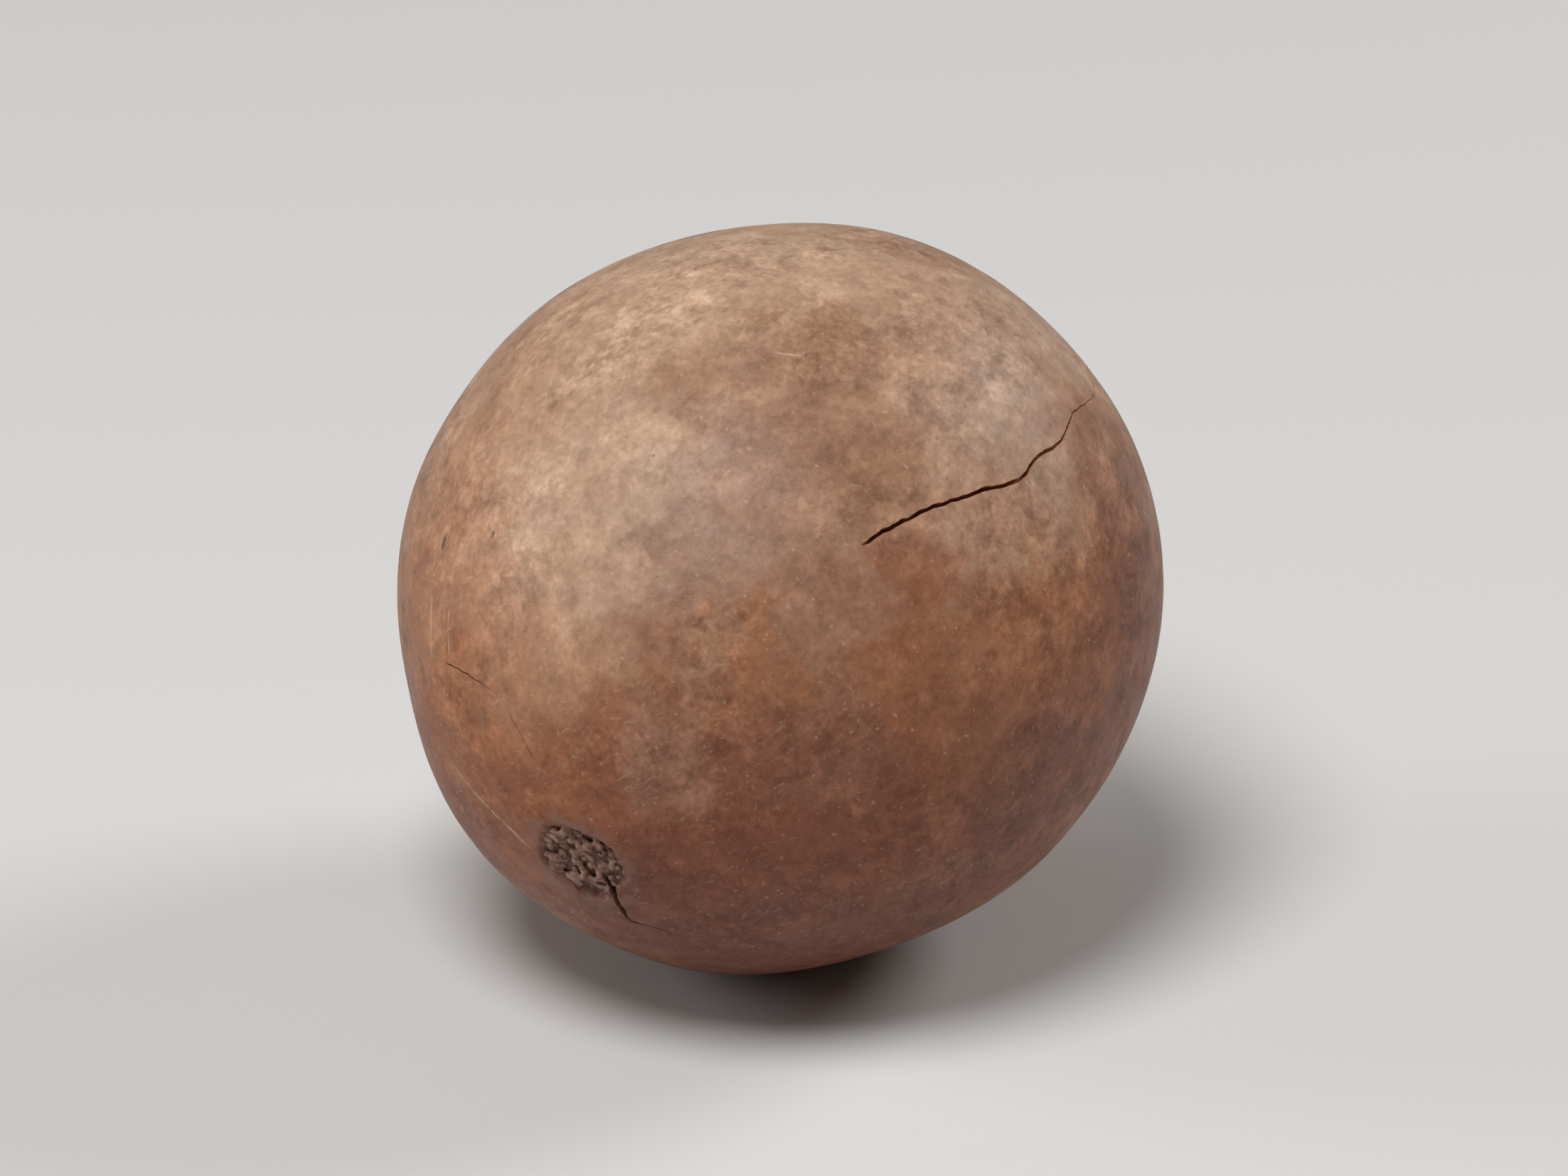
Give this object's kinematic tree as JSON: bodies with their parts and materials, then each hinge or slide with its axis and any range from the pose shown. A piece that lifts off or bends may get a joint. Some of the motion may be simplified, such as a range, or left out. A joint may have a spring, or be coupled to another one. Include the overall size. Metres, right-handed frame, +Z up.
{
  "type": "macadamia nut in shell",
  "caption": "Round in-shell macadamia nut lying on its side on a small flat spot, with a corky stalk scar, an open crack round its waist and a low nub at the tip.",
  "frame": {"origin": "middle of the small flat spot that the nut lies on", "axes": "+Z up from the surface, -Z out of the flat spot; -Y towards the picture's camera, +X to its right, so that the stalk scar is low at the front left and the crack runs over the upper right"},
  "size_m": [0.0264, 0.0267, 0.0255],
  "materials": {
    "shell": "satin brown woody shell, mottled with paler and redder browns, with tiny pale specks"
  },
  "bodies": {
    "root": {"nut": "shell"}
  },
  "joints": []
}
